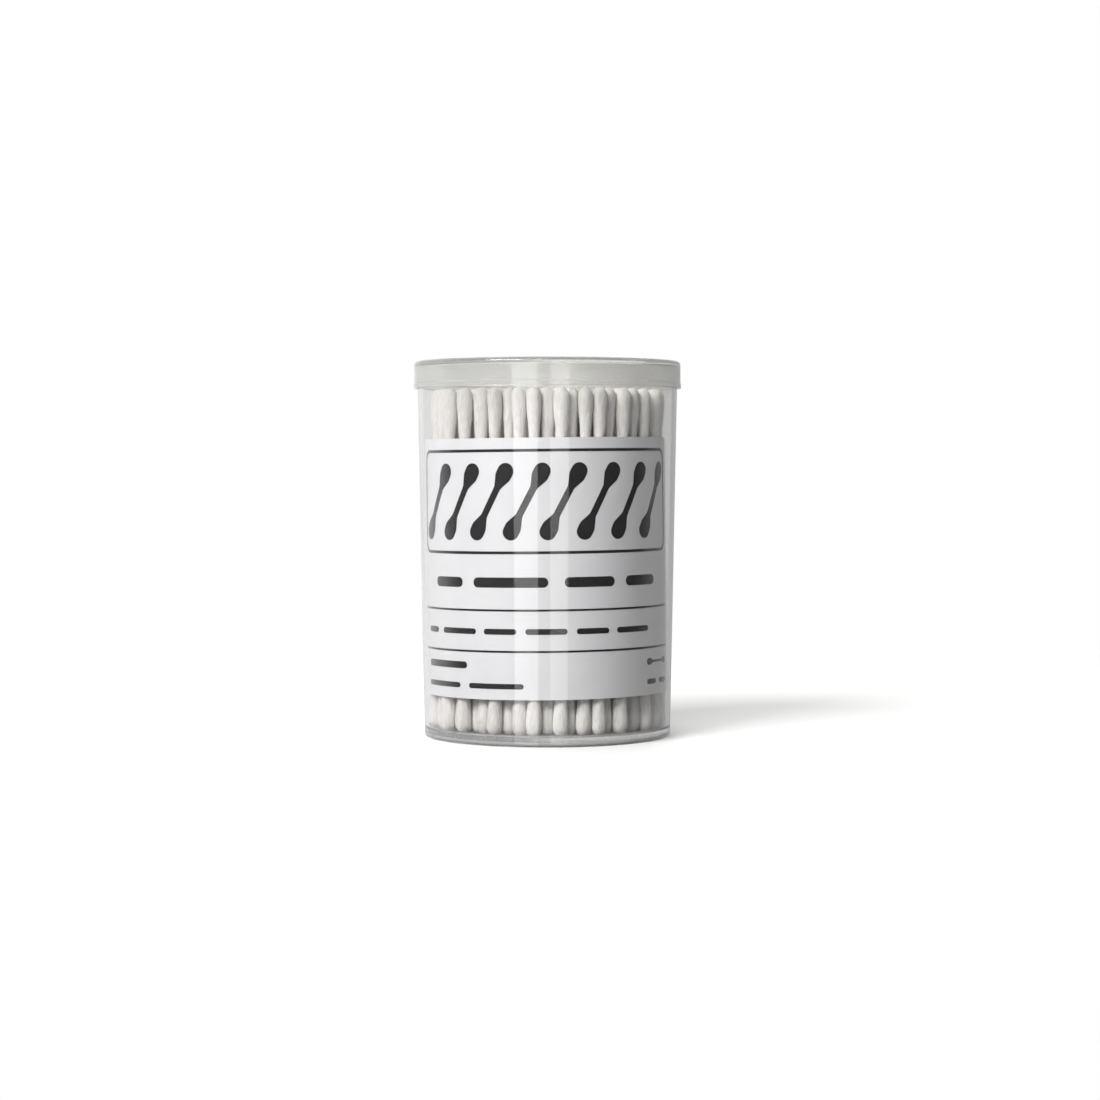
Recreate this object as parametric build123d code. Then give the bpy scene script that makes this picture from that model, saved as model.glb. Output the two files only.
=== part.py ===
from build123d import *

import math
import os

import numpy as np

# A drum of cotton buds that stands on its base, origin at the centre of the base, +Z up.
# All sizes are in millimetres and degrees.

# Cotton bud: a rolled paper stick with a wound cotton tip on each end
bud_length = 75.5
stick_diameter = 2.2
tip_diameter = 3.2
tip_length = 12.5
tip_shoulder = 5.0          # from the tip's end to where it starts to narrow
tip_end_cover = 1.2         # cotton past the end of the stick
tip_edge = 0.15             # cotton left standing on the stick at the narrow end

# Tub: one clear moulding with a standing ring under its floor
base_diameter = 55.2        # outside, at the surface that it stands on
draft_angle = 1.08          # the wall leans out by this much, all the way up
wall = 0.9
floor_thickness = 1.0
foot_height = 1.0           # the floor is raised this far inside the standing ring
foot_width = 1.8
headspace = 5.1             # from the buds up to the rim
base_corner_radius = 0.7
inner_corner_radius = 0.6
rim_edge_radius = 0.2

# Lid: a shallow cap whose skirt pushes over the rim
lid_plate = 1.2
skirt_depth = 4.9           # how far the skirt reaches down past the rim
skirt_wall = 0.55
skirt_clearance = 0.1       # between the skirt and the rim, on each side
bead_height = 1.1           # the thicker hem at the foot of the skirt
bead_stand_out = 0.12
lid_corner_radius = 0.9
lid_edge_radius = 0.25

# Label: a straight sleeve of card inside the wall, its two ends meeting at the back
label_height = 56.4
label_foot = 10.2           # height of its lower edge, where it wedges in the tapered bore
label_thickness = 0.25
label_clearance = 0.06      # between the sleeve's lower edge and the bore
label_lean = 0.6            # the sleeve has wedged this far from upright, right side high
label_seam = 0.8            # gap between the strip's two ends

# The way the buds stand: loosely, each with its own small lean
pack_density = 0.776        # share of the standing circle that the tips fill
pack_turn = 106.0           # turns the whole pack about the tub's axis
tip_gap = 0.06              # least gap between one tip and the next
wall_gap = 0.1              # least gap between a bud and the wall or the sleeve
head_wander = 0.5           # how far a bud's head may stray from above its foot
settling_rounds = 4000
bud_rows = 8                # rows, counted inwards from the wall

# Sizes that follow from those above
rise = math.tan(math.radians(draft_angle))
floor_top = foot_height + floor_thickness
rim_height = floor_top + bud_length + headspace
tip_radius = tip_diameter / 2
stick_radius = stick_diameter / 2
label_radius = base_diameter / 2 - wall + label_foot * rise - label_clearance
label_shift = label_height * math.sin(math.radians(label_lean))


def outer_radius(height):
    """Outside radius of the tub at a height above its base."""
    return base_diameter / 2 + height * rise


def turned(*points):
    """A solid turned about +Z from the corners of its half section."""
    section = make_face(Polyline(*points, close=True))
    return revolve(Plane.XZ * section, Axis.Z)


def rings(part, radius, height):
    """The round edges of a turned part at one radius and height."""
    return part.edges().filter_by(GeomType.CIRCLE).filter_by(
        lambda edge: abs(edge.radius - radius) < 0.02 and abs(edge.center().Z - height) < 0.02
    )


def make_tub():
    rim_outer = outer_radius(rim_height)
    rim_inner = rim_outer - wall
    floor_inner = outer_radius(floor_top) - wall
    foot_inner = base_diameter / 2 - foot_width
    tub = turned(
        (0, foot_height),
        (foot_inner, foot_height),
        (foot_inner, 0),
        (base_diameter / 2, 0),
        (rim_outer, rim_height),
        (rim_inner, rim_height),
        (floor_inner, floor_top),
        (0, floor_top),
    )
    tub = fillet(rings(tub, base_diameter / 2, 0), min(base_corner_radius, foot_width / 2))
    tub = fillet(rings(tub, floor_inner, floor_top), inner_corner_radius)
    rim = rings(tub, rim_outer, rim_height) + rings(tub, rim_inner, rim_height)
    return fillet(rim, min(rim_edge_radius, wall / 3))


def make_lid():
    skirt_inner = outer_radius(rim_height) + skirt_clearance
    skirt_outer = skirt_inner + skirt_wall
    bead_outer = skirt_outer + bead_stand_out
    lid_top = rim_height + lid_plate
    lid_foot = rim_height - skirt_depth
    lid = turned(
        (0, rim_height),
        (skirt_inner, rim_height),
        (skirt_inner, lid_foot),
        (bead_outer, lid_foot),
        (bead_outer, lid_foot + bead_height),
        (skirt_outer, lid_foot + bead_height + bead_stand_out),
        (skirt_outer, lid_top),
        (0, lid_top),
    )
    lid = fillet(rings(lid, skirt_outer, lid_top), min(lid_corner_radius, lid_plate * 0.9))
    return fillet(rings(lid, bead_outer, lid_foot), min(lid_edge_radius, skirt_wall / 2))


def make_label():
    sleeve = Cylinder(label_radius, label_height, align=(Align.CENTER, Align.CENTER, Align.MIN))
    sleeve -= Cylinder(
        label_radius - label_thickness, label_height, align=(Align.CENTER, Align.CENTER, Align.MIN)
    )
    seam = Box(
        label_seam, 4 * label_thickness, label_height, align=(Align.CENTER, Align.CENTER, Align.MIN)
    )
    sleeve -= Pos(0, label_radius, 0) * seam
    return Pos(0, 0, label_foot) * Rot(0, -label_lean, 0) * sleeve


def make_tip():
    """A cotton tip with its round end at the origin, reaching up along +Z."""
    outline = [
        CenterArc((0, tip_radius), tip_radius, -90, 90),
        Line((tip_radius, tip_radius), (tip_radius, tip_shoulder)),
        Polyline(
            (tip_radius, tip_shoulder),
            (stick_radius + tip_edge, tip_length),
            (stick_radius, tip_length),
            (stick_radius, tip_end_cover),
            (0, tip_end_cover),
            (0, 0),
        ),
    ]
    return revolve(Plane.XZ * make_face(Curve() + outline), Axis.Z)


def make_stick():
    """A paper stick that stands in a lower tip whose round end is at the origin."""
    length = bud_length - 2 * tip_end_cover
    stick = Cylinder(stick_radius, length, align=(Align.CENTER, Align.CENTER, Align.MIN))
    return Pos(0, 0, tip_end_cover) * stick


def bud_radius(from_end):
    """Radius of a bud at a distance from its nearer end, clear of the round part."""
    narrowing = (from_end - tip_shoulder) / (tip_length - tip_shoulder)
    if narrowing > 1:
        return stick_radius
    return tip_radius - max(narrowing, 0) * (tip_radius - stick_radius - tip_edge)


def settle(places, reach):
    """Push places apart, inside a circle, until no tip touches the next."""
    spacing = tip_diameter + 1.5 * tip_gap
    for _ in range(settling_rounds):
        apart = places[:, None] - places[None]
        distance = np.linalg.norm(apart, axis=2)
        np.fill_diagonal(distance, math.inf)
        if distance.min() > tip_diameter + tip_gap:
            break
        push = np.clip(spacing - distance, 0, None) / distance
        places = places + 0.5 * (apart * push[..., None]).sum(axis=1)
        out = np.linalg.norm(places, axis=1)
        places = places * np.minimum(1, reach / np.maximum(out, spacing))[:, None]
    return places


def stand_buds():
    """Centres of the round foot and head of every bud, outermost first."""
    sleeve_inner = label_radius - label_thickness - wall_gap
    bore_reach = outer_radius(floor_top) - wall - wall_gap - tip_radius
    foot_reach = min(bore_reach, sleeve_inner - bud_radius(label_foot - floor_top))
    sleeve_top = label_foot + label_height
    head_reach = sleeve_inner - label_shift - bud_radius(floor_top + bud_length - sleeve_top)
    count = round(pack_density * ((head_reach + tip_radius) / (tip_radius + tip_gap / 2)) ** 2)
    order = np.arange(count) + 0.5
    turn = math.radians(pack_turn) + order * math.pi * (3 - math.sqrt(5))
    sunflower = np.stack([np.cos(turn), np.sin(turn)], axis=1)
    feet = settle(sunflower * head_reach * np.sqrt(order / count)[:, None], foot_reach)
    stray = np.random.RandomState(7).uniform(-head_wander, head_wander, feet.shape)
    heads = settle(feet + stray, head_reach)
    inwards = np.argsort(-np.linalg.norm(heads, axis=1))
    return feet[inwards], heads[inwards]


def bud_planes(foot, head):
    """Planes at a bud's two round ends, each facing along the bud."""
    foot_centre = Vector(*foot, floor_top + tip_radius)
    lean = (Vector(*head, floor_top + bud_length - tip_radius) - foot_centre).normalized()
    lower_end = foot_centre - lean * tip_radius
    upper_end = lower_end + lean * bud_length
    return Plane(lower_end, z_dir=lean), Plane(upper_end, z_dir=-lean)


def place(plane, part):
    return plane.location * part


os.makedirs("parts", exist_ok=True)

export_step(make_tub(), "parts/tub.step")
export_step(make_lid(), "parts/lid.step")
export_step(make_label(), "parts/label_sleeve.step")

stick = make_stick()
tip = make_tip()
feet, heads = stand_buds()
planes = [bud_planes(foot, head) for foot, head in zip(feet, heads)]
row_ends = [round(len(planes) * (1 - (1 - row / bud_rows) ** 2)) for row in range(bud_rows + 1)]
for row in range(bud_rows):
    buds = planes[row_ends[row] : row_ends[row + 1]]
    name = f"row_{row + 1}"
    sticks = Compound([place(lower, stick) for lower, upper in buds])
    lower_tips = Compound([place(lower, tip) for lower, upper in buds])
    upper_tips = Compound([place(upper, tip) for lower, upper in buds])
    export_step(sticks, f"parts/paper_sticks_{name}.step")
    export_step(lower_tips, f"parts/lower_tips_{name}.step")
    export_step(upper_tips, f"parts/upper_tips_{name}.step")

nearest = min(
    np.linalg.norm(ends[i] - ends[j]) for ends in (feet, heads) for i in range(len(ends)) for j in range(i)
)
print("buds", len(planes), "rows", np.diff(row_ends), "nearest tips", round(float(nearest), 3))
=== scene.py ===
import math

import bmesh
import bpy
import numpy as np
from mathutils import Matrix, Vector


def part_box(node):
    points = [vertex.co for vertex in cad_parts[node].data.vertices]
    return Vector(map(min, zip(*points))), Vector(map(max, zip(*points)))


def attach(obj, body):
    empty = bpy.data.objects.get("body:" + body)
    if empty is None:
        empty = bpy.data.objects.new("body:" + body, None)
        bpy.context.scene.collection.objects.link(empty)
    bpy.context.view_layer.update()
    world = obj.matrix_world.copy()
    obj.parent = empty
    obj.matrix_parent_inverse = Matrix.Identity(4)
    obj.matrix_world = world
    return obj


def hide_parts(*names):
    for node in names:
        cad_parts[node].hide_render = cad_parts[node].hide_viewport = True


# A clear drum of cotton buds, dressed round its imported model. Lengths are in metres.
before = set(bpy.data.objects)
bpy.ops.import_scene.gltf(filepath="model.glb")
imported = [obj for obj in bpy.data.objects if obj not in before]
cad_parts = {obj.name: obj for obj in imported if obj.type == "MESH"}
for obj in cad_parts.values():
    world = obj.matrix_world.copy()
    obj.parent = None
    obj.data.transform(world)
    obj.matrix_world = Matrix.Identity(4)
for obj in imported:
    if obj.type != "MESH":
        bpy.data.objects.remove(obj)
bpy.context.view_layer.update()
mm = 0.001
rng = np.random.RandomState(20)


# ---- small helpers -------------------------------------------------------------------

def linear(hex_colour):
    """An sRGB hex colour as linear red, green, blue and an alpha of one."""
    channels = [int(hex_colour[i : i + 2], 16) / 255 for i in (1, 3, 5)]
    return (*[c / 12.92 if c <= 0.04045 else ((c + 0.055) / 1.055) ** 2.4 for c in channels], 1.0)


def start_material(name):
    """An empty material and its node tree."""
    material = bpy.data.materials.new(name)
    material.use_nodes = True
    material.node_tree.nodes.clear()
    return material, material.node_tree


def add(tree, kind, inputs, **settings):
    """Adds one node, sets it up, and fills each input with a value or a link."""
    node = tree.nodes.new("ShaderNode" + kind)
    for key, value in settings.items():
        setattr(node, key, value)
    for key, value in inputs.items():
        if isinstance(value, bpy.types.NodeSocket):
            tree.links.new(value, node.inputs[key])
        else:
            node.inputs[key].default_value = value
    return node


def stretched_noise(tree, grain, detail=3.0, roughness=0.5):
    """Noise whose grains measure about grain = (x, y, z) metres on the object."""
    place = add(tree, "TexCoord", {}).outputs["Object"]
    scale = tuple(1 / g for g in grain)
    mapped = add(tree, "Mapping", {"Vector": place, "Scale": scale}).outputs[0]
    return add(
        tree, "TexNoise", {"Vector": mapped, "Scale": 1.0, "Detail": detail, "Roughness": roughness}
    ).outputs["Fac"]


# Nearly all of the noise lies between these two values
noise_reach = {"From Min": 0.3, "From Max": 0.7}


def tinted(tree, noise, dark, light):
    """A colour between two hex colours, chosen by noise."""
    share = add(tree, "MapRange", {0: noise, **noise_reach, "To Min": 0.0, "To Max": 1.0}).outputs[0]
    blend = {0: share, 6: linear(dark), 7: linear(light)}
    return add(tree, "Mix", blend, data_type="RGBA").outputs[2]


def finish_material(material, tree, surface):
    output = tree.nodes.new("ShaderNodeOutputMaterial")
    tree.links.new(surface, output.inputs["Surface"])
    return material


def let_lamps_through(tree, shader, tint):
    """The shader for sight, and a tinted clear one for the light that falls on what is behind it."""
    path = add(tree, "LightPath", {})
    lamp_ray = add(
        tree,
        "Math",
        {0: path.outputs["Is Shadow Ray"], 1: path.outputs["Is Diffuse Ray"]},
        operation="MAXIMUM",
    ).outputs[0]
    clear = add(tree, "BsdfTransparent", {"Color": linear(tint)}).outputs[0]
    return add(tree, "MixShader", {0: lamp_ray, 1: shader, 2: clear}).outputs[0]


# ---- materials -----------------------------------------------------------------------

def moulded_clear_polypropylene():
    """Clarified polypropylene from a polished mould: see-through with a bright gloss, slow waves up
    the wall where the melt flowed, which bend its reflections, and a thicker foot that looks milkier,
    since light crosses more plastic there, and is greyed by painted shade along its lowest edge."""
    material, tree = start_material("moulded_clear_polypropylene")
    flow = stretched_noise(tree, (7 * mm, 7 * mm, 60 * mm), detail=1.0)
    haze = stretched_noise(tree, (9 * mm, 9 * mm, 25 * mm), detail=3.0)
    place = add(tree, "TexCoord", {}).outputs["Object"]
    height = add(tree, "SeparateXYZ", {"Vector": place}).outputs["Z"]
    foot_clearness, wall_clearness = 0.82, 0.994
    clearness = add(
        tree,
        "MapRange",
        {
            0: height,
            "From Min": 1.2 * mm,
            "From Max": 3.2 * mm,
            "To Min": foot_clearness,
            "To Max": wall_clearness,
        },
        interpolation_type="SMOOTHSTEP",
    ).outputs[0]
    # Painted shade: the base colour is grey at the very foot and fades to the wall's colour by 2.4 mm
    # up
    above_painted_foot_shade = add(
        tree,
        "MapRange",
        {0: height, "From Min": 0.5 * mm, "From Max": 2.4 * mm},
        interpolation_type="SMOOTHSTEP",
    ).outputs[0]
    wall_colour = tinted(tree, haze, "#F2F1F1", "#F7F7F6")
    colours = {0: above_painted_foot_shade, 6: linear("#B4B4B3"), 7: wall_colour}
    polish = {0: haze, **noise_reach, "To Min": 0.03, "To Max": 0.05}
    waves = {"Height": flow, "Distance": 0.03 * mm}
    plastic = add(
        tree,
        "BsdfPrincipled",
        {
            "Base Color": add(tree, "Mix", colours, data_type="RGBA").outputs[2],
            "Roughness": add(tree, "MapRange", polish).outputs[0],
            "IOR": 1.49,
            "Transmission Weight": clearness,
            "Normal": add(tree, "Bump", waves).outputs[0],
        },
    ).outputs[0]
    return finish_material(material, tree, let_lamps_through(tree, plastic, "#F5F5F5"))


def moulded_milky_polypropylene():
    """Natural polypropylene from a lightly blasted mould: milky and a little green-grey, so that the
    rim behind it is only a soft line, with a satin gloss along its edges."""
    material, tree = start_material("moulded_milky_polypropylene")
    cloud = stretched_noise(tree, (14 * mm, 14 * mm, 9 * mm), detail=2.0)
    satin = {0: cloud, **noise_reach, "To Min": 0.1, "To Max": 0.14}
    waves = {"Height": cloud, "Distance": 0.03 * mm}
    plastic = add(
        tree,
        "BsdfPrincipled",
        {
            "Base Color": tinted(tree, cloud, "#EFEFED", "#F4F4F2"),
            "Roughness": add(tree, "MapRange", satin).outputs[0],
            "IOR": 1.49,
            "Transmission Weight": 0.9,
            "Normal": add(tree, "Bump", waves).outputs[0],
        },
    ).outputs[0]
    return finish_material(material, tree, let_lamps_through(tree, plastic, "#F0F0EE"))


def coated_card():
    """White card with a smooth clay coating: even and bright, a soft sheen, barely any tooth."""
    material, tree = start_material("coated_card")
    tooth = stretched_noise(tree, (0.25 * mm, 0.25 * mm, 0.25 * mm), detail=4.0)
    coating = {0: tooth, **noise_reach, "To Min": 0.5, "To Max": 0.6}
    pits = {"Height": tooth, "Distance": 0.01 * mm}
    board = add(
        tree,
        "BsdfPrincipled",
        {
            "Base Color": tinted(tree, tooth, "#E9E9EC", "#EFEFF1"),
            "Roughness": add(tree, "MapRange", coating).outputs[0],
            "IOR": 1.5,
            "Normal": add(tree, "Bump", pits).outputs[0],
        },
    ).outputs[0]
    return finish_material(material, tree, board)


def offset_black_ink():
    """Black ink laid by offset printing: a thin dense film that soaks into the card and dries
    nearly matt, a touch uneven."""
    material, tree = start_material("offset_black_ink")
    lay = stretched_noise(tree, (0.2 * mm, 0.2 * mm, 0.2 * mm), detail=4.0)
    dried = {0: lay, **noise_reach, "To Min": 0.6, "To Max": 0.7}
    film = add(
        tree,
        "BsdfPrincipled",
        {
            "Base Color": tinted(tree, lay, "#050506", "#0D0D0F"),
            "Roughness": add(tree, "MapRange", dried).outputs[0],
            "IOR": 1.5,
            "Specular IOR Level": 0.05,
        },
    ).outputs[0]
    return finish_material(material, tree, film)


def rolled_stick_paper():
    """Uncoated paper rolled tight into a stick: off-white and matt, with lengthwise fibre marks."""
    material, tree = start_material("rolled_stick_paper")
    fibre = stretched_noise(tree, (0.12 * mm, 0.12 * mm, 1.6 * mm), detail=4.0)
    uncoated = {0: fibre, **noise_reach, "To Min": 0.7, "To Max": 0.85}
    marks = {"Height": fibre, "Distance": 0.03 * mm}
    paper = add(
        tree,
        "BsdfPrincipled",
        {
            "Base Color": tinted(tree, fibre, "#E4E0D8", "#F2F0EA"),
            "Roughness": add(tree, "MapRange", uncoated).outputs[0],
            "IOR": 1.5,
            "Normal": add(tree, "Bump", marks).outputs[0],
        },
    ).outputs[0]
    return finish_material(material, tree, paper)


def wound_bleached_cotton():
    """Bleached cotton fleece wound on the stick: soft warm white with drawn-out fibre streaks that
    let light in. The streaks are drawn many fibres thick, since one fibre is 0.02 mm."""
    material, tree = start_material("wound_bleached_cotton")
    streak = stretched_noise(tree, (0.32 * mm, 0.32 * mm, 1.9 * mm), detail=5.0, roughness=0.65)
    tuft = stretched_noise(tree, (1.0 * mm, 1.0 * mm, 1.7 * mm), detail=3.0)
    tufts = add(tree, "Bump", {"Height": tuft, "Distance": 0.3 * mm}).outputs[0]
    streaks = {"Height": streak, "Distance": 0.25 * mm, "Normal": tufts}
    matt = {0: tuft, **noise_reach, "To Min": 0.85, "To Max": 0.98}
    fleece = add(
        tree,
        "BsdfPrincipled",
        {
            "Base Color": tinted(tree, streak, "#DFDBD6", "#FBF9F7"),
            "Roughness": add(tree, "MapRange", matt).outputs[0],
            "IOR": 1.45,
            "Subsurface Weight": 0.3,
            "Subsurface Radius": (1.0, 0.95, 0.9),
            "Subsurface Scale": 0.5 * mm,
            "Sheen Weight": 0.3,
            "Sheen Roughness": 0.5,
            "Normal": add(tree, "Bump", streaks).outputs[0],
        },
    ).outputs[0]
    return finish_material(material, tree, fleece)


def studio_paper():
    """Pale paper that the drum stands on. It shows the drum's shadow and fades into the white room
    further out. It isn't there for the drum's gloss, so that a lamp's streak runs the whole height
    of the wall, and it throws little light back up."""
    material, tree = start_material("studio_paper")
    tooth = stretched_noise(tree, (0.6 * mm, 0.6 * mm, 0.6 * mm), detail=3.0)
    path = add(tree, "LightPath", {})
    pale = tinted(tree, tooth, "#F3F3F2", "#F7F7F6")
    shades = {0: path.outputs["Is Diffuse Ray"], 6: pale, 7: linear("#8A8A8A")}
    shade = add(tree, "Mix", shades, data_type="RGBA").outputs[2]
    paper = add(tree, "BsdfDiffuse", {"Color": shade}).outputs[0]
    place = add(tree, "TexCoord", {}).outputs["Object"]
    distance = add(tree, "VectorMath", {0: place}, operation="LENGTH").outputs["Value"]
    far_out = add(
        tree,
        "MapRange",
        {0: distance, "From Min": 0.1, "From Max": 0.32, "To Min": 0.0, "To Max": 1.0},
        interpolation_type="SMOOTHSTEP",
    ).outputs[0]
    # The white stays off the drum: light that falls on it sees the paper alone
    fade = add(
        tree,
        "Math",
        {0: far_out, 1: path.outputs["Is Diffuse Ray"]},
        operation="SUBTRACT",
        use_clamp=True,
    ).outputs[0]
    white = add(tree, "Emission", {"Color": (1, 1, 1, 1), "Strength": 1.0}).outputs[0]
    seen = add(tree, "MixShader", {0: fade, 1: paper, 2: white}).outputs[0]
    absent = add(tree, "BsdfTransparent", {}).outputs[0]
    floor = add(tree, "MixShader", {0: path.outputs["Is Glossy Ray"], 1: seen, 2: absent})
    return finish_material(material, tree, floor.outputs[0])


# ---- meshes --------------------------------------------------------------------------

weld_distance = 0.001 * mm


def make_piece(name, points, faces, material, body):
    """A smooth mesh piece that rides on a body and takes its finish from a slot."""
    mesh = bpy.data.meshes.new(name)
    mesh.from_pydata([tuple(p) for p in points], [], faces)
    mesh.validate()
    mesh.polygons.foreach_set("use_smooth", [True] * len(mesh.polygons))
    mesh.materials.append(material)
    mesh.update()
    piece = bpy.data.objects.new(name, mesh)
    bpy.context.scene.collection.objects.link(piece)
    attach(piece, body)
    return piece


def separate_solids(node):
    """Each solid of a CAD node as an array of its points, in order of place."""
    work = bmesh.new()
    work.from_mesh(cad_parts[node].data)
    bmesh.ops.remove_doubles(work, verts=work.verts, dist=weld_distance)
    reached, solids = set(), []
    for first in work.verts:
        if first in reached:
            continue
        reached.add(first)
        found = [first]
        for vert in found:
            for edge in vert.link_edges:
                other = edge.other_vert(vert)
                if other not in reached:
                    reached.add(other)
                    found.append(other)
        solids.append(np.array([v.co for v in found]))
    work.free()
    return sorted(solids, key=lambda points: tuple(points.min(axis=0)))


def end_centres(points):
    """Middles of the lower and upper end of an upright tube or rod with points only at its ends."""
    middle = (points[:, 2].min() + points[:, 2].max()) / 2
    ends = [points[points[:, 2] < middle], points[points[:, 2] >= middle]]
    return [(end.min(axis=0) + end.max(axis=0)) / 2 for end in ends]


# ---- cotton tips ---------------------------------------------------------------------

tip_length = 12.5 * mm
tip_radius = 1.78 * mm          # at the belly of a full tip that nothing presses on
dome_length = 2.3 * mm
dome_bluntness = 2.2
belly_end = 0.26                # share of the length where the taper starts
taper_length = 0.7              # share of the length that it takes
stick_radius = 1.1 * mm
edge_radius = stick_radius * 1.02
lump_height = 0.06 * mm
thinnest_tip, fullest_tip = -0.09, 0.02
fleece_gap = 0.05 * mm          # left between a tip and the flat face that it is pressed to
squeeze = 0.12 * mm             # softens the edge of a pressed flat
fibre_thickness = 0.018 * mm
fibre_root_depth = 0.05 * mm
card_thickness = 0.25 * mm
well_seen_rows = 2              # rows that show through the wall, counted inwards from it
# Points round a tip and along it, and its loose fibres
well_seen_tip = (28, 26, 60)
hidden_tip = (18, 18, 20)


def tip_profile(share):
    """Radius of a tip at a share of its length from the round end: blunt dome, full belly, long
    taper down to the stick."""
    up_dome = np.clip(share * tip_length / dome_length, 0, 1)
    dome = np.sqrt(np.clip(1 - (1 - up_dome) ** dome_bluntness, 0, 1))
    narrowing = np.clip((share - belly_end) / taper_length, 0, 1)
    ease = narrowing**1.2 * (1.5 - 0.5 * narrowing)
    return dome * (tip_radius + (edge_radius - tip_radius) * np.clip(ease, 0, 1))


def sideways_of(axis):
    """Two directions square to a bud's axis and to each other."""
    side = np.cross(axis, (0.3, 1, 0.2))
    side /= np.linalg.norm(side)
    return side, np.cross(axis, side)


def lay_tip(end, axis, presses, around, along):
    """Points and faces of one tip that starts at end and runs along axis towards the stick.
    Presses are the arrows from the tip's middle to the flat faces where it meets its neighbours."""
    share = np.concatenate([[0.002, 0.01, 0.03], np.linspace(0.06, 1, along - 3)])
    turn = np.arange(around) / around * math.tau
    side, other = sideways_of(axis)
    ring = np.cos(turn)[:, None] * side + np.sin(turn)[:, None] * other
    radius = tip_profile(share)[:, None] * np.ones(around)
    # Lumps: a few slow waves round and along the tip, fading out at the stick
    lumps = np.zeros_like(radius)
    for waves_round in (1, 2, 3, 5, 7):
        waves_along = rng.uniform(0.5, 3.0)
        start = rng.uniform(0, math.tau)
        size = rng.uniform(0.4, 1.2)
        lumps += size / waves_round * np.sin(
            waves_round * turn[None] + waves_along * math.tau * share[:, None] + start
        )
    soft = np.clip(share / 0.05, 0, 1)[:, None] * np.clip((1 - share) / 0.2, 0, 1)[:, None]
    radius = radius * (1 + rng.uniform(thinnest_tip, fullest_tip)) + lump_height * lumps * soft
    for press in presses:
        reach = np.linalg.norm(press)
        facing = ring @ (press / reach)
        room = reach - fleece_gap
        limit = np.where(facing > 0.05, room / np.maximum(facing, 0.05), math.inf)
        # Just short of the flat face the fleece is squeezed, so that the edge of the flat is soft
        over = np.clip(radius - limit[None] + squeeze, 0, None)
        radius = radius - over + squeeze * over / (over + squeeze)
    middle = end[None] + axis[None] * (share * tip_length)[:, None]
    points = (middle[:, None] + ring[None] * radius[..., None]).reshape(-1, 3)
    points = np.vstack([points, end, middle[-1] - axis * 0.6 * mm])
    rows = len(share)
    faces = []
    for here in range(0, (rows - 1) * around, around):
        after = here + around
        for i in range(around):
            j = (i + 1) % around
            faces.append((here + i, here + j, after + j, after + i))
    last = (rows - 1) * around
    for i in range(around):
        j = (i + 1) % around
        faces.append((rows * around, j, i))
        faces.append((rows * around + 1, last + i, last + j))
    return points, faces


def presses_on(middle, axis, middles, bore):
    """Arrows from a tip's middle to halfway to each neighbour, and to the bore if there is one."""
    apart = middles - middle
    distance = np.linalg.norm(apart, axis=1)
    near = apart[(distance > 0) & (distance < 2 * tip_radius)]
    presses = [arrow / 2 for arrow in near]
    out = middle * (1, 1, 0)
    reach = np.linalg.norm(out)
    if bore - reach < tip_radius:
        presses.append(out / reach * (bore - reach))
    return presses


def lay_fibres(end, axis, count):
    """Points and faces of loose fibres that stand off one tip, each a thin closed hair with three
    sides."""
    points, faces = [], []
    for _ in range(count):
        share = rng.uniform(0.01, 0.75)
        turn = rng.uniform(0, math.tau)
        side, other = sideways_of(axis)
        out = math.cos(turn) * side + math.sin(turn) * other
        along = axis * rng.choice([-1, 1]) + np.cross(axis, out) * rng.uniform(-1.2, 1.2)
        along /= np.linalg.norm(along)
        off_axis = float(tip_profile(np.array(share))) - fibre_root_depth
        root = end + axis * share * tip_length + out * off_axis
        length, lift = rng.uniform(0.6, 1.6) * mm, rng.uniform(0.1, 0.35)
        spine = [
            root,
            root + along * length * 0.5 + out * length * lift * 0.8,
            root + along * length + out * length * lift * rng.uniform(0.3, 1.2),
        ]
        across = np.cross(along, out)
        base = len(points)
        for place, width in zip(spine, (1.0, 0.9, 0.5)):
            for k in range(3):
                angle = k / 3 * math.tau
                corner = math.cos(angle) * out + math.sin(angle) * across
                points.append(place + fibre_thickness * width * corner)
        for row in range(2):
            for k in range(3):
                n = (k + 1) % 3
                a = base + row * 3
                faces.append((a + k, a + n, a + 3 + n, a + 3 + k))
        faces.append((base + 2, base + 1, base))
        faces.append((base + 6, base + 7, base + 8))
    return points, faces


def bud_ends(sticks, cover):
    """Round ends, directions inwards and middles of the lower and the upper tips of some buds."""
    feet, heads = np.array(sticks)[:, 0], np.array(sticks)[:, 1]
    axes = (heads - feet) / np.linalg.norm(heads - feet, axis=1)[:, None]
    half = axes * tip_length / 2
    lower, upper = feet - axes * cover, heads + axes * cover
    return {"lower": (lower, axes, lower + half), "upper": (upper, -axes, upper - half)}


def dress_buds(sleeve):
    """Paper on the sticks, and for each row of buds one piece of lower tips and one of upper tips."""
    cotton = wound_bleached_cotton()
    paper = rolled_stick_paper()
    rows = range(1, 1 + sum(name.startswith("paper_sticks_row_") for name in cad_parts))
    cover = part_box("paper_sticks_row_1")[0].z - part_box("lower_tips_row_1")[0].z
    sticks = {}
    for row in rows:
        node = f"paper_sticks_row_{row}"
        sticks[row] = [end_centres(points) for points in separate_solids(node)]
        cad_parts[node].data.materials[0] = paper
    every_end = bud_ends([stick for row in rows for stick in sticks[row]], cover)
    for row in rows:
        around, along, fibres = well_seen_tip if row <= well_seen_rows else hidden_tip
        row_ends = bud_ends(sticks[row], cover)
        for level, bore in (("lower", sleeve.radius - card_thickness), ("upper", math.inf)):
            points, faces = [], []
            for end, axis, middle in zip(*row_ends[level]):
                presses = presses_on(middle, axis, every_end[level][2], bore)
                for more_points, more_faces in (
                    lay_tip(end, axis, presses, around, along),
                    lay_fibres(end, axis, fibres),
                ):
                    faces += [tuple(i + len(points) for i in face) for face in more_faces]
                    points += list(more_points)
            node = f"{level}_tips_row_{row}"
            piece = make_piece(f"cotton_{node}", points, faces, cotton, "drum")
            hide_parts(node)


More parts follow.
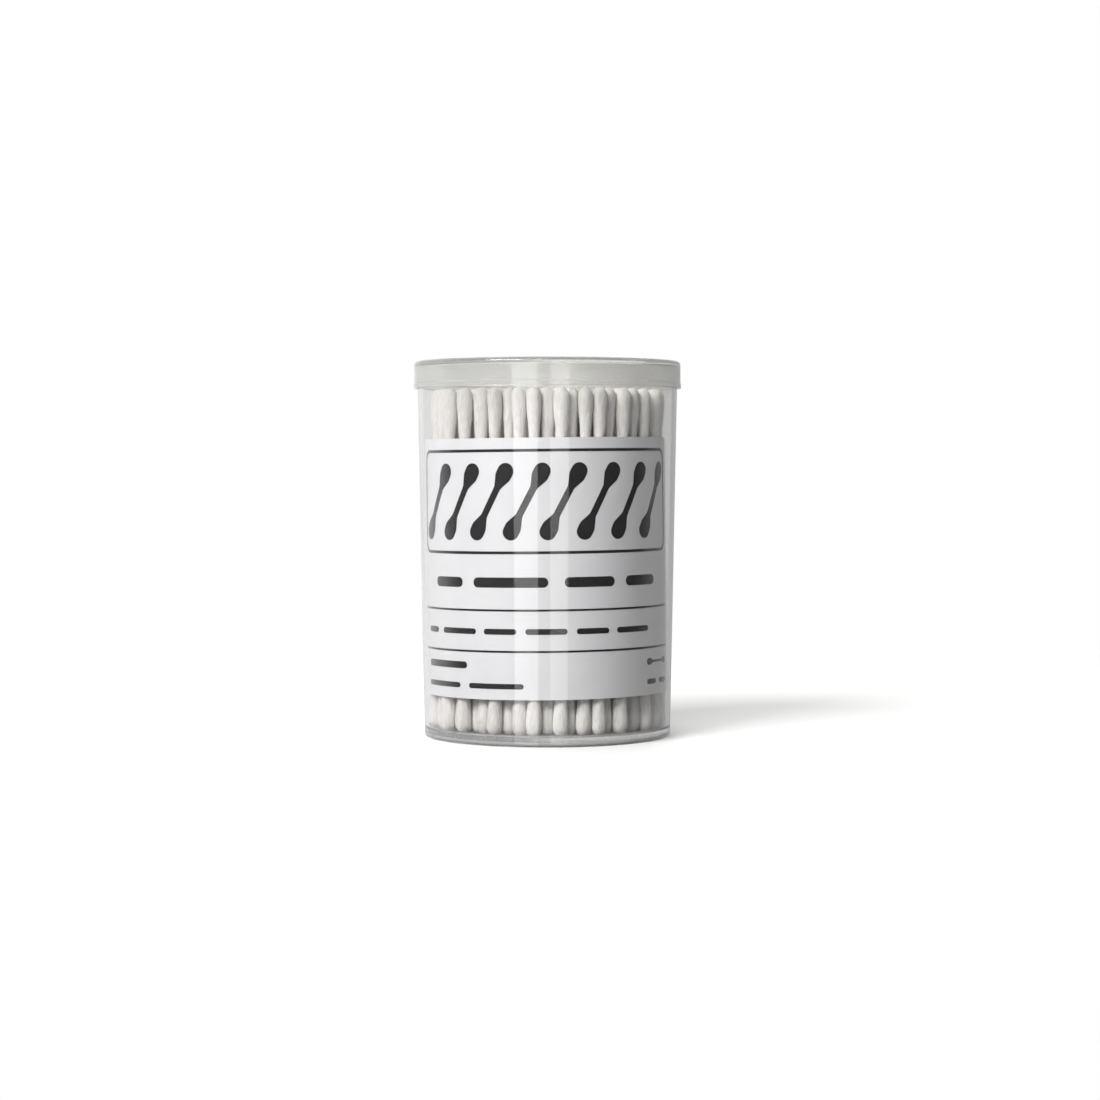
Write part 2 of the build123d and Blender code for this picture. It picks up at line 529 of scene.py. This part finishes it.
# ---- print on the sleeve -------------------------------------------------------------

# Sizes on the flat card: widths run round it, and heights are from its lower edge
ink_thickness = 0.02 * mm
panel_half = 35.0 * mm
panel_bottom = 31.4 * mm
panel_top = 54.0 * mm
panel_corner = 2.8 * mm
panel_line = 0.62 * mm
panel_side_line = 0.9 * mm
rule_line = 0.45 * mm
upper_rule = 19.3 * mm
lower_rule = 10.4 * mm
strip_width = 1.0 * mm          # the print is cut into strips this wide to bend with the card
swab_count = 8
swab_pitch = 8.0 * mm
swab_length = 18.4 * mm
swab_tip = 3.6 * mm
swab_stick = 1.5 * mm
swab_lean = math.radians(28)
mark_length = 9.0 * mm
mark_tip = 1.5 * mm
mark_stick = 0.5 * mm
mark_across = 29.5 * mm
mark_up = 7.3 * mm
# Lines of bars in mm: name, height of the line, thickness, and where each bar starts and ends
bar_lines = (
    ("printed_bold_bars", 25.3, 2.2, ((-28.5, -19.5), (-16.5, 0.5), (4, 15.5), (18.5, 28))),
    (
        "printed_line_bars",
        14.7,
        1.25,
        ((-32.5, -28), (-26, -16), (-14, -6.5), (-4.5, 4.5), (6.5, 14), (16, 25.5)),
    ),
    ("printed_heading_bar", 7.3, 1.5, ((-32.5, -18.5),)),
    ("printed_small_bars", 2.9, 1.15, ((-32.5, -20.5), (-18, -5))),
    ("printed_count_bars", 2.9, 1.15, ((25, 28.5), (30, 34))),
)


class Sleeve:
    """The label's outer face as a flat sheet: u runs to the right from the middle of the front, and
    v up from the lower edge."""

    def __init__(self):
        points = np.array([v.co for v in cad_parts["label_sleeve"].data.vertices])
        low, high = end_centres(points)
        self.foot = low
        self.height = np.linalg.norm(high - low)
        self.up = (high - low) / self.height
        self.right = np.cross((0, 1, 0), self.up)
        self.front = np.cross(self.right, self.up)
        from_axis = (points - low) - np.outer((points - low) @ self.up, self.up)
        self.radius = np.linalg.norm(from_axis, axis=1).max()

    def place(self, u, v, lift):
        turn = u / self.radius
        out = math.sin(turn) * self.right + math.cos(turn) * self.front
        return self.foot + self.up * v + out * (self.radius + lift)


def leaned(outline, u, v, lean):
    """An outline drawn about the origin, turned by an angle and moved to (u, v)."""
    c, s = math.cos(lean), math.sin(lean)
    return [(u + x * c - y * s, v + x * s + y * c) for x, y in outline]


def rounded_bar(width, height, corner):
    """Outline of a bar with rounded corners, about the origin."""
    steps = 6
    least_straight = 0.02 * mm
    corner = min(corner, (width - least_straight) / 2, (height - least_straight) / 2)
    outline = []
    for quarter, (x, y) in enumerate(((1, 1), (-1, 1), (-1, -1), (1, -1))):
        for step in range(steps + 1):
            angle = (quarter + step / steps) * math.pi / 2
            across = x * (width / 2 - corner) + corner * math.cos(angle)
            up = y * (height / 2 - corner) + corner * math.sin(angle)
            outline.append((across, up))
    return outline


def swab_outline(length, tip, stick):
    """Outline of an upright cotton bud about the origin: a stick with a long rounded tip at each
    end that narrows where it meets the stick."""
    steps = 10
    tip_reach = 1.6 * tip
    side = []
    for step in range(steps + 1):
        angle = step / steps * math.pi / 2
        side.append((tip / 2 * math.sin(angle), length / 2 - tip / 2 * (1 - math.cos(angle))))
    side.append((tip / 2, length / 2 - 0.55 * tip_reach))
    side.append((stick / 2, length / 2 - tip_reach))
    right = side + [(x, -y) for x, y in reversed(side)]
    return right + [(-x, y) for x, y in reversed(right) if x > weld_distance]


def print_shapes(name, sleeve, outlines, ink):
    """Inked shapes on the sleeve as one piece: each outline, less the outlines that come with it as
    holes, cut into narrow strips so that it bends with the card, and as thick as the ink."""
    work = bmesh.new()
    for outline, hole in outlines:
        loops = [outline] + ([hole] if hole else [])
        edges = []
        for loop in loops:
            verts = [work.verts.new((x, y, 0)) for x, y in loop]
            edges += [work.edges.new((verts[i - 1], verts[i])) for i in range(len(verts))]
        bmesh.ops.triangle_fill(work, edges=edges, use_beauty=True, use_dissolve=False)
    low = min(v.co.x for v in work.verts)
    high = max(v.co.x for v in work.verts)
    for cut in range(1, int((high - low) / strip_width) + 1):
        bmesh.ops.bisect_plane(
            work,
            geom=work.verts[:] + work.edges[:] + work.faces[:],
            plane_co=(low + cut * strip_width, 0, 0),
            plane_no=(1, 0, 0),
            dist=1e-7,
        )
    bmesh.ops.recalc_face_normals(work, faces=work.faces)
    top = work.faces[:]
    if top[0].normal.z < 0:
        bmesh.ops.reverse_faces(work, faces=top)
    raised = bmesh.ops.extrude_face_region(work, geom=top)
    for item in raised["geom"]:
        if isinstance(item, bmesh.types.BMVert):
            item.co.z = ink_thickness
    bmesh.ops.recalc_face_normals(work, faces=work.faces)
    for vert in work.verts:
        vert.co = Vector(sleeve.place(vert.co.x, vert.co.y, vert.co.z))
    mesh = bpy.data.meshes.new(name)
    work.to_mesh(mesh)
    work.free()
    mesh.materials.append(ink)
    piece = bpy.data.objects.new(name, mesh)
    bpy.context.scene.collection.objects.link(piece)
    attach(piece, "drum")
    return piece


def print_label(sleeve):
    """Black print on the front of the sleeve: a framed row of cotton buds, two rules, and bars that
    stand where lines of words would."""
    ink = offset_black_ink()
    middle = (panel_bottom + panel_top) / 2
    width, height = 2 * panel_half, panel_top - panel_bottom
    outer = rounded_bar(width, height, panel_corner)
    inner = rounded_bar(
        width - 2 * panel_side_line, height - 2 * panel_line, panel_corner - panel_line
    )
    panel = (leaned(outer, 0, middle, 0), leaned(inner, 0, middle, 0))
    print_shapes("printed_panel_frame", sleeve, [panel], ink)

    swab = swab_outline(swab_length, swab_tip, swab_stick)
    swabs = [
        (leaned(swab, (place - (swab_count - 1) / 2) * swab_pitch, middle, -swab_lean), None)
        for place in range(swab_count)
    ]
    print_shapes("printed_swabs", sleeve, swabs, ink)

    rule = rounded_bar(width, rule_line, rule_line / 4)
    rules = [(leaned(rule, 0, v, 0), None) for v in (upper_rule, lower_rule)]
    print_shapes("printed_rules", sleeve, rules, ink)

    for name, v, thickness, spans in bar_lines:
        bars = []
        for start, end in spans:
            bar = rounded_bar((end - start) * mm, thickness * mm, thickness * mm / 2)
            bars.append((leaned(bar, (start + end) / 2 * mm, v * mm, 0), None))
        print_shapes(name, sleeve, bars, ink)

    mark = swab_outline(mark_length, mark_tip, mark_stick)
    lying = leaned(mark, mark_across, mark_up, math.pi / 2)
    print_shapes("printed_swab_mark", sleeve, [(lying, None)], ink)
    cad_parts["label_sleeve"].data.materials[0] = coated_card()


# ---- studio --------------------------------------------------------------------------

floor_radius = 0.6
middle_of_drum = Vector((0, 0, 0.04))
dim_front = 0.06                # how bright the room in front is to gloss and to shading
front_through_plastic = 0.55    # and to what shows through clear plastic
bright_back = 0.95
painted_shadow_right = 0.5                 # share of that brightness which is left on the right, a painted shadow of the drum
# Name, degrees to the right of the camera, degrees up, distance, size, radiance, leaves a highlight
softboxes = (
    ("key_softbox", -40, 38, 1.1, (0.5, 0.45), 17.5, True),
    ("front_softbox", -14, 45, 1.1, (0.35, 0.35), 8, True),
    ("left_streak_softbox", -19, 6, 0.7, (0.27, 0.5), 1.75, True),
    ("right_streak_softbox", 10.5, 6, 0.7, (0.2, 0.5), 1.3, True),
    ("back_softbox", 180, 42, 1.1, (0.6, 0.6), 5, False),
)


def hang_softbox(name, azimuth, elevation, distance, size, radiance, mirrored):
    """A lamp that faces the drum. One that isn't mirrored gives its light and no highlight."""
    across, up = math.radians(azimuth), math.radians(elevation)
    level = distance * math.cos(up)
    data = bpy.data.lights.new(name, "AREA")
    data.shape = "RECTANGLE"
    data.size, data.size_y = size
    data.energy = radiance * math.pi * size[0] * size[1]
    lamp = bpy.data.objects.new(name, data)
    lamp.location = (level * math.sin(across), -level * math.cos(across), distance * math.sin(up))
    lamp.rotation_euler = (middle_of_drum - lamp.location).to_track_quat("-Z", "Y").to_euler()
    lamp.visible_camera = False
    lamp.visible_glossy = lamp.visible_transmission = mirrored
    bpy.context.scene.collection.objects.link(lamp)


def light_studio():
    """A pale floor, a white room behind and a dim one in front, a big soft lamp high on the left,
    two tall narrow ones near the camera that draw bright streaks down the wall, and a weak one
    behind that fills the shade at the back."""
    bpy.ops.mesh.primitive_circle_add(
        vertices=96, radius=floor_radius, fill_type="NGON", location=(0, 0, 0)
    )
    floor = bpy.context.object
    floor.name = "floor"
    floor.data.materials.append(studio_paper())

    world = bpy.data.worlds.new("white_room")
    bpy.context.scene.world = world
    world.use_nodes = True
    tree = world.node_tree
    tree.nodes.clear()
    direction = add(tree, "TexCoord", {}).outputs["Generated"]
    split = add(tree, "SeparateXYZ", {"Vector": direction})
    path = add(tree, "LightPath", {})
    through = path.outputs["Is Transmission Ray"]
    front = add(
        tree, "MapRange", {0: through, "To Min": dim_front, "To Max": front_through_plastic}
    ).outputs[0]
    to_the_back = add(
        tree,
        "MapRange",
        {
            0: split.outputs["Y"],
            "From Min": -0.1,
            "From Max": 0.4,
            "To Min": front,
            "To Max": bright_back,
        },
        interpolation_type="SMOOTHSTEP",
    ).outputs[0]
    # Painted shadow: the room behind is dimmer on the right, in place of the drum's shadow on the
    # ground behind it. It shows through the clear wall and in its gloss, and it also lights that side
    # of the drum less
    to_the_right = add(
        tree,
        "MapRange",
        {
            0: split.outputs["X"],
            "From Min": -0.03,
            "From Max": 0.12,
            "To Min": 1.0,
            "To Max": painted_shadow_right,
        },
        interpolation_type="SMOOTHSTEP",
    ).outputs[0]
    room = add(
        tree, "Math", {0: to_the_back, 1: to_the_right}, operation="MULTIPLY"
    ).outputs[0]
    # The camera itself sees plain white
    seen = {0: path.outputs["Is Camera Ray"], 2: room, 3: 1.0}
    brightness = add(tree, "Mix", seen, data_type="FLOAT").outputs[0]
    glow = add(tree, "Background", {"Color": (1, 1, 1, 1), "Strength": brightness}).outputs[0]
    output = tree.nodes.new("ShaderNodeOutputWorld")
    tree.links.new(glow, output.inputs["Surface"])

    for lamp in softboxes:
        hang_softbox(*lamp)


def place_camera():
    """A long lens that looks very slightly down on the middle of the drum."""
    stand_off = 584 * mm
    eye_height = 60.7 * mm
    aim_height = 41.6 * mm
    sideways = 0.6 * mm
    data = bpy.data.cameras.new("camera")
    data.sensor_width = 36
    data.lens = 85.1
    data.clip_start, data.clip_end = 0.01, 50
    camera = bpy.data.objects.new("camera", data)
    bpy.context.scene.collection.objects.link(camera)
    camera.location = (sideways, -stand_off, eye_height)
    fall = math.atan2(eye_height - aim_height, stand_off)
    camera.rotation_euler = (math.pi / 2 - fall, 0, 0)
    bpy.context.scene.camera = camera


# ---- the whole -----------------------------------------------------------------------

place_camera()
light_studio()
sleeve = Sleeve()
dress_buds(sleeve)
print_label(sleeve)
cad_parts["tub"].data.materials[0] = moulded_clear_polypropylene()
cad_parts["lid"].data.materials[0] = moulded_milky_polypropylene()
bpy.context.scene.view_settings.view_transform = "Standard"
